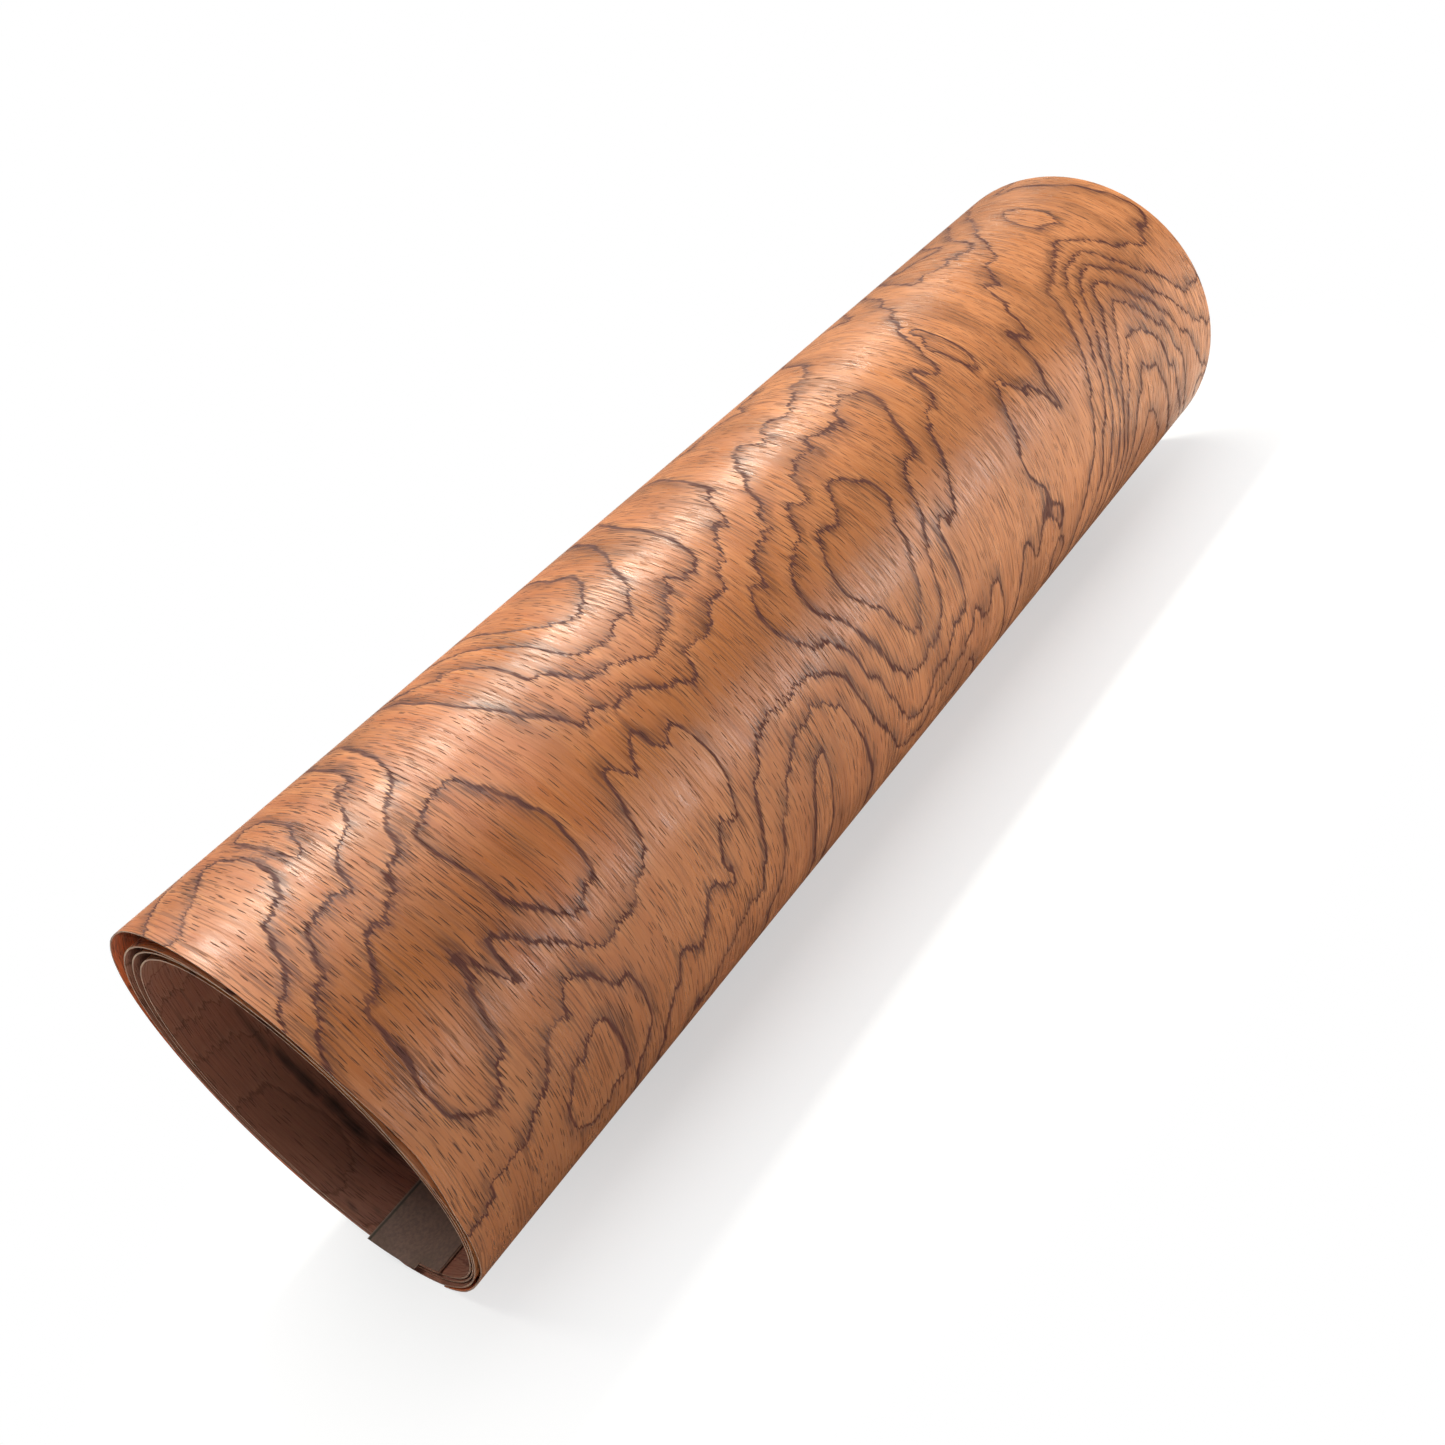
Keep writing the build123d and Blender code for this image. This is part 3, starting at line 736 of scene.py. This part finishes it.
# Pores in the same way: size, seed, and how far from the middle of its place a pore fades
poreSizes = {"mid": (1.2, 18, 0.3, 0.11, 0.18), "long": (1.5, 36, 3.1, 0.08, 0.13),
             "short": (1.15, 15, 7.7, 0.10, 0.17)}
ringLook = {
    "lean": (75, 62, 5.5),         # how the grain leans to and fro: mm along, mm round, seed
    "flattest": 0.012,             # least slope that is reckoned with, in rings a mm
    "widthRise": (0.3, 0.68),      # values of its noise between which a line goes from thin to thick
    "lineFade": (0.45, 1.35),      # an edge's line fades between these shares of its width
    "haloWidths": 6,               # and its halo over this many widths
    "haloCore": 0.08,
    "haloComb": 0.85,              # how much of it comes in fine streaks
    "smokeComb": 0.5,
    "smokeFrom": (-0.3, 0.5),      # mm uphill
    "smokePower": 1.6,
    "paleBand": (-5.5, -0.9, -0.2),  # the same, so downhill of the edge
    "fewerLong": 0.1,              # long pores are rarer than the others by this share
    "fewerShort": 0.7,             # and short ones fade this far where the long ones are
    "poreFade": (-0.05, 0.05),     # how sharply pores go from being left out to full
    # the ground's painted light: over these mm along it goes over to a paler far colour, as the far end was
    # lit more than the near end
    "paintedFarLightMm": (60, 520),           # mm along, over which the ground goes over to its far colour
    "glowMm": 15,                  # mm round over which the glow begins
    "paleShare": 0.4,
    "fibreRise": (0.35, 0.75), "fibreShare": 0.45, "fibreRoughness": 0.6,
    "coarseRise": (0.4, 0.8), "coarseShare": 0.35,
}
# how far each pattern stands out or is sunk, and how much duller or rougher it is
relief = {"fibre": 0.55, "coarse": 0.5, "pore": -0.9, "line": -0.25, "hair": -0.4}
roughen = {"gleam": 0.08, "fineGleam": 0.16, "pore": 0.3, "line": 0.3, "hair": 0.15}


def figuredFace(name, tone):
    # wood with growth rings from the sheet's own attributes
    material, wire = newMaterial(name)
    alongFlat, around, mark = threeNumbers(wire, "sheetPlace")
    height, riseRound, riseAlong = threeNumbers(wire, "sheetRings")
    shadingAndPatch = wire.put("Attribute", {"attribute_name": "sheetShadingAndPatch"}, {}, 2)

    # the grain leans a little to and fro
    leanAlong, leanRound, seed = ringLook["lean"]
    lean = wire.put("CombineXYZ", {}, {0: alongFlat / leanAlong, 1: around / leanRound, 2: seed})
    along = alongFlat + (noiseAt(wire, lean, 1.0, 1.0) - 0.5) * tone["leanMm"]

    def grain(kind, roughness=0.5):
        alongMm, roundMm, seed, detail, *span = grains[kind]
        spot = wire.put("CombineXYZ", {}, {0: along / alongMm + seed, 1: around / roundMm, 2: seed})
        pattern = noiseAt(wire, spot, 1.0, detail, roughness)
        return pattern.rise(*span) if span else pattern

    # edges of the rings, drawn out into teeth along the grain
    teeth = ((grain("teeth") - 0.5) * tone["teethMm"] + (grain("midTeeth") - 0.5) * tone["midTeethMm"]
             + (grain("fineTeeth") - 0.5) * tone["fineTeethMm"])
    level = height + teeth * riseRound + (grain("sway") - 0.5) * tone["swayMm"] * riseAlong
    slope = ((riseRound * riseRound + riseAlong * riseAlong) ** 0.5).most(ringLook["flattest"])
    uphill = (level.sums("FRACT", level) - 0.5) / slope      # mm from the nearest edge
    width = grain("lineWidth").rise(*ringLook["widthRise"], tone["thinMm"], tone["thickMm"])
    comb = grain("comb")
    line = (uphill.size() / width).rise(*ringLook["lineFade"], 1.0, 0.0) * grain("fray") * grain("lineFade")
    halo = (uphill.size() / (width * ringLook["haloWidths"])).rise(ringLook["haloCore"], 1.0, 1.0, 0.0)
    halo = halo * grain("haloPatches") * (comb * ringLook["haloComb"] + (1 - ringLook["haloComb"]))
    fading = (1 - (uphill / tone["shadeMm"]).rise(0.0, 1.0)) ** ringLook["smokePower"]
    smoke = uphill.rise(*ringLook["smokeFrom"]) * fading * grain("smokePatches")
    smoke = smoke * (comb * ringLook["smokeComb"] + (1 - ringLook["smokeComb"]))
    start, top, stop = ringLook["paleBand"]
    downhill = uphill.rise(start, top) * uphill.rise(top, stop, 1.0, 0.0)

    # pores: thin dashes along the grain, crowded in places
    def pores(kind, left):
        alongMm, roundMm, seed, core, rim = poreSizes[kind]
        spot = wire.put("CombineXYZ", {}, {0: along / alongMm + seed, 1: around / roundMm + seed})
        cell = {"Vector": spot, "Scale": 1.0, "Randomness": 1.0}
        near = wire.put("TexVoronoi", {"voronoi_dimensions": "2D"}, cell, 0)
        pick = wire.put("TexVoronoi", {"voronoi_dimensions": "2D"}, cell, 1)
        chance = wire.put("SeparateColor", {}, {0: pick}, 0)
        return near.rise(core, rim, 1.0, 0.0) * (chance - left).rise(*ringLook["poreFade"])

    scarce = grain("scarce")
    longer = grain("longer")
    pore = pores("mid", scarce).most(pores("long", scarce + ringLook["fewerLong"])) * longer
    pore = pore.most(pores("short", scarce) * (1 - longer * ringLook["fewerShort"]))
    hair = grain("hair") * grain("hairPatches")

    # ground colour, and over it what darkens it
    fibre = grain("fibre", ringLook["fibreRoughness"])
    coarse = grain("coarse")
    # painted light: the ground goes paler towards the far end, which was lit more than the near end
    paintedFarLight = alongFlat.rise(*ringLook["paintedFarLightMm"]) * tone["paintedFarLight"]
    ground = mixColour(wire, grain("broad"), tone["ground"], tone["red"])
    ground = mixColour(wire, paintedFarLight, ground, tone["farLitColour"])
    pale = grain("band") * ringLook["paleShare"] + downhill * ringLook["paleShare"]
    ground = mixColour(wire, pale, ground, tone["pale"])
    # umber darkens random clouds of the wood, and the painted shading and darker patches above
    ground = mixColour(wire, (grain("cloud") * tone["cloud"]).most(shadingAndPatch), ground, tone["umber"])
    if "glow" in tone:
        # painted glow: the red of light coming through the thin last turn is painted into the back face's
        # colour
        glow = around.rise(tone["glowFrom"], tone["glowFrom"] + ringLook["glowMm"])
        ground = mixColour(wire, glow, ground, tone["glow"])
    deep = (fibre.rise(*ringLook["fibreRise"]) * ringLook["fibreShare"]
            + coarse.rise(*ringLook["coarseRise"]) * ringLook["coarseShare"])
    smudge = mark * (comb * (1 - tone["evenMark"]) + tone["evenMark"])
    layers = [(deep, "deep"), (smoke * tone["smoke"], "grey"), (smudge, "grey"),
              (halo * tone["halo"], "haloColour"), (hair * tone["hair"], "poreColour"),
              (line * tone["line"], "dark"), (pore * tone["pore"], "poreColour")]
    for strength, colour in layers:
        ground = mixColour(wire, strength, ground, tone[colour])

    dent = (fibre * relief["fibre"] + coarse * relief["coarse"] + pore * relief["pore"]
            + line * relief["line"] + hair * relief["hair"])
    rough = (grain("gleam") * roughen["gleam"] + grain("fineGleam") * roughen["fineGleam"]
             + pore * roughen["pore"] + line * roughen["line"] + hair * roughen["hair"]
             + (tone["rough"] - roughen["gleam"]))
    finishSurface(wire, tone, ground, rough, dent)
    return material


# the sheet's edges, cut across the fibres
cutRim = {
    "fibreEnds": (0.34, 0.18, 0.11, 1), "hollows": (0.20, 0.095, 0.06, 1),
    "palePatches": (0.46, 0.31, 0.21, 1),
    "speckScale": 900.0, "hollowRise": (0.3, 0.7),
    "patchScale": 60.0, "patchRise": (0.4, 0.7), "patchShare": 0.5,
    "bump": 0.4, "bumpDepth": 0.0002, "rough": (0.55, 0.8), "gloss": 0.5,
}


def cutEdge(name):
    material, wire = newMaterial(name)
    place = wire.put("TexCoord", {}, {}, 3)
    speck = noiseAt(wire, place, cutRim["speckScale"], 2.0)
    patch = noiseAt(wire, place, cutRim["patchScale"], 1.0).rise(*cutRim["patchRise"])
    colour = mixColour(wire, speck.rise(*cutRim["hollowRise"]), cutRim["fibreEnds"], cutRim["hollows"])
    colour = mixColour(wire, patch * cutRim["patchShare"], colour, cutRim["palePatches"])
    finishSurface(wire, cutRim, colour, speck.rise(0, 1, *cutRim["rough"]), speck)
    return material


goodFace = {
    "ground": (0.38, 0.126, 0.037, 1), "red": (0.34, 0.100, 0.031, 1), "pale": (0.57, 0.240, 0.092, 1),
    "farLitColour": (0.48, 0.200, 0.079, 1), "paintedFarLight": 0.65,
    "umber": (0.19, 0.066, 0.019, 1), "deep": (0.26, 0.082, 0.025, 1), "grey": (0.085, 0.032, 0.013, 1),
    "dark": (0.056, 0.010, 0.005, 1), "poreColour": (0.036, 0.010, 0.005, 1),
    "haloColour": (0.085, 0.024, 0.012, 1),
    "smoke": 0.8, "evenMark": 0.3, "line": 0.96, "halo": 0.7, "pore": 0.88, "hair": 0.45, "cloud": 0.6,
    "bump": 0.8, "bumpDepth": 0.0002, "rough": 0.31, "gloss": 0.33,
    "shadeMm": 10.0, "thinMm": 0.55, "thickMm": 1.1,
    "teethMm": 3.5, "midTeethMm": 4.0, "fineTeethMm": 4.5, "swayMm": 4.0, "leanMm": 6.0,
}
backFace = {
    "ground": (0.25, 0.100, 0.057, 1), "red": (0.27, 0.092, 0.053, 1), "pale": (0.32, 0.138, 0.085, 1),
    "farLitColour": (0.30, 0.124, 0.082, 1), "paintedFarLight": 0.3,
    "umber": (0.25, 0.10, 0.07, 1), "deep": (0.23, 0.082, 0.055, 1), "grey": (0.030, 0.014, 0.010, 1),
    "dark": (0.02, 0.009, 0.007, 1), "poreColour": (0.09, 0.033, 0.022, 1),
    "haloColour": (0.2, 0.075, 0.05, 1), "glow": (0.78, 0.17, 0.05, 1), "glowFrom": 1490.0,
    "smoke": 0.15, "evenMark": 0.85, "line": 0.3, "halo": 0.25, "pore": 0.6, "hair": 0.4, "cloud": 0.5,
    "bump": 0.7, "bumpDepth": 0.0002, "rough": 0.55, "gloss": 0.3,
    "shadeMm": 11.0, "thinMm": 0.5, "thickMm": 1.1,
    "teethMm": 8.0, "midTeethMm": 6.0, "fineTeethMm": 4.0, "swayMm": 4.0, "leanMm": 6.0,
}

rolled, chains, tree = makeRolledSheet()
side = setFigure(rolled, chains, tree)
setFaces(rolled, side, [figuredFace("veneerGoodFace", goodFace), figuredFace("veneerBackFace", backFace),
                        cutEdge("veneerCutEdge")])
selectOnly(rolled)
bpy.ops.object.shade_smooth_by_angle(angle=veneer["smoothAngle"])
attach(rolled, "root")
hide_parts("veneer_sheet")
print("rolled sheet done")


paperTape = {
    "edgeMm": 27.65,           # its long edge lies this far left of the roll's middle
    "wanderMm": 0.8,           # how much the painted edge shadow wanders
    "paper": (0.215, 0.125, 0.093, 1), "fibres": (0.145, 0.085, 0.063, 1), "stains": (0.105, 0.075, 0.05, 1),
    # a painted shadow and a painted highlight along the tape's long edge
    "edgeShadow": (0.025, 0.024, 0.012, 1), "edgeHighlight": (0.3, 0.25, 0.18, 1),
    "fibreScale": 700.0, "fibreRoughness": 0.6, "fibreRise": (0.3, 0.7),
    "stainScale": 45.0, "stainRise": (0.45, 0.75), "stainShare": 0.4,
    "edgeShadowFrom": (0.5, 0.8), "edgeShadowTo": (1.2, 1.9), "edgeShadowShare": 0.85,  # mm from the edge
    "edgeHighlightTo": (0.1, 0.4), "edgeHighlightShare": 0.6,
    "bump": 0.3, "bumpDepth": 0.0002, "rough": (0.6, 0.8), "gloss": 0.5,
}


def kraftTape(name):
    material, wire = newMaterial(name)
    place = wire.put("TexCoord", {}, {}, 3)
    fibre = noiseAt(wire, place, paperTape["fibreScale"], 3.0, paperTape["fibreRoughness"])
    stain = noiseAt(wire, place, paperTape["stainScale"], 2.0)
    stained = stain.rise(*paperTape["stainRise"]) * paperTape["stainShare"]
    colour = mixColour(wire, fibre.rise(*paperTape["fibreRise"]), paperTape["paper"], paperTape["fibres"])
    colour = mixColour(wire, stained, colour, paperTape["stains"])
    # painted shadow in a dark line by the tape's long edge, and a painted highlight on the paper's edge
    inside = wire.put("SeparateXYZ", {}, {0: place}, 0) * 1000 + paperTape["edgeMm"]
    wander = inside + (stain - 0.5) * paperTape["wanderMm"]
    edgeShadow = wander.rise(*paperTape["edgeShadowFrom"]) * wander.rise(*paperTape["edgeShadowTo"], 1.0, 0.0)
    light = inside.rise(*paperTape["edgeHighlightTo"], 1.0, 0.0) * paperTape["edgeHighlightShare"]
    colour = mixColour(wire, edgeShadow * paperTape["edgeShadowShare"], colour, paperTape["edgeShadow"])
    colour = mixColour(wire, light, colour, paperTape["edgeHighlight"])
    finishSurface(wire, paperTape, colour, stain.rise(0.2, 0.8, *paperTape["rough"]), fibre)
    return material


tape = frame["nodes"]["end_tape"]
tape.data.materials.clear()
tape.data.materials.append(kraftTape("kraftTape"))
print("tape done")


studio = {
    "floorSize": 12.0,
    "floorColour": (0.82, 0.82, 0.82, 1),
    "floorWhite": 0.55,           # share of plain white in the floor that the camera sees
    "shadowReach": (0.10, 0.26),  # the floor goes over to plain white between these distances
    "shadowShape": (1.0, 0.55, 0),  # these distances count less along the roll
    "floorBounce": (0.8, 0.77, 0.72, 1),
    "ambient": 0.28,
    "cameraAt": (0.44733, -0.39048, 0.30909),
    "cameraRight": (0.6766, 0.5752, -0.4598),
    "cameraUp": (0.0215, 0.6088, 0.7931),
    "lens": 34.317,
    "sensorWidth": 36,
    "clipStart": 0.01,
    # name, place, aimed at, width, length, watts, colour
    "lamps": [
        ("ceilingPanel", (-0.36, 0.32, 1.31), (0.0, 0.08, 0.08), 0.16, 1.80, 25.5, (1, 1, 0.88)),
        ("top", (0.1, 0.3, 1.8), (0.0, 0.10, 0.08), 1.8, 1.8, 31, (1, 1, 1)),
        ("leftHigh", (-1.0, -0.1, 1.3), (0.0, 0.0, 0.08), 0.8, 1.2, 5.5, (1, 1, 1)),
        ("rightNear", (0.75, 0.60, 0.12), (0.05, 0.25, 0.08), 0.2, 0.5, 2.5, (1, 1, 1)),
        ("rightLow", (1.10, 0.30, 0.05), (0.05, 0.15, 0.05), 0.08, 0.6, 3.0, (1, 1, 1)),
    ],
}


def makeFloor():
    bpy.ops.mesh.primitive_plane_add(size=studio["floorSize"], location=(0, 0, 0))
    floor = bpy.context.object
    floor.name = "floor"
    material, wire = newMaterial("plainFloor")
    seen = wire.put("LightPath", {}, {}, 0)
    place = wire.put("TexCoord", {}, {}, 3)
    away = wire.put("VectorMath", {"operation": "MULTIPLY"}, {0: place, 1: studio["shadowShape"]})
    away = wire.put("VectorMath", {"operation": "LENGTH"}, {0: away}, 1)
    plain = wire.put("BsdfDiffuse", {}, {0: studio["floorColour"]})
    white = wire.put("Emission", {}, {0: (1, 1, 1, 1), 1: 1.0})
    share = away.rise(*studio["shadowReach"], studio["floorWhite"], 1.0)
    paper = wire.put("MixShader", {}, {0: share, 1: plain, 2: white})
    bounce = wire.put("BsdfDiffuse", {}, {0: studio["floorBounce"]})
    finishMaterial(wire, wire.put("MixShader", {}, {0: seen, 1: bounce, 2: paper}))
    floor.data.materials.append(material)
    deselectAll()


def makeWorld():
    # white to the camera, and dimmer to everything else
    world = bpy.data.worlds.new("studio")
    bpy.context.scene.world = world
    world.use_nodes = True
    world.node_tree.nodes.clear()
    wire = Wire(world.node_tree)
    seen = wire.put("LightPath", {}, {}, 0)
    strength = seen * (1 - studio["ambient"]) + studio["ambient"]
    sky = wire.put("Background", {}, {0: (1, 1, 1, 1), 1: strength})
    out = world.node_tree.nodes.new("ShaderNodeOutputWorld")
    world.node_tree.links.new(sky.socket, out.inputs[0])


def addLamps():
    for name, at, aim, width, length, watts, colour in studio["lamps"]:
        bpy.ops.object.light_add(type="AREA", location=at)
        lamp = bpy.context.object
        lamp.name = name
        lamp.data.shape = "RECTANGLE"
        lamp.data.size, lamp.data.size_y = width, length
        lamp.data.energy = watts
        lamp.data.color = colour
        look = (Vector(aim) - Vector(at)).normalized()
        across = look.cross(Vector((0, 1, 0))).normalized()
        turn = Matrix((across, across.cross(look) * -1, -look)).transposed().to_4x4()
        lamp.matrix_world = Matrix.Translation(at) @ turn
    deselectAll()


def addCamera():
    data = bpy.data.cameras.new("camera")
    camera = bpy.data.objects.new("camera", data)
    bpy.context.scene.collection.objects.link(camera)
    right, up = Vector(studio["cameraRight"]).normalized(), Vector(studio["cameraUp"]).normalized()
    turn = Matrix((right, up, right.cross(up))).transposed().to_4x4()
    camera.matrix_world = Matrix.Translation(studio["cameraAt"]) @ turn
    data.lens = studio["lens"]
    data.sensor_width = studio["sensorWidth"]
    data.clip_start = studio["clipStart"]
    bpy.context.scene.camera = camera


makeFloor()
makeWorld()
addLamps()
addCamera()
bpy.context.scene.view_settings.view_transform = "Standard"
print("studio done")
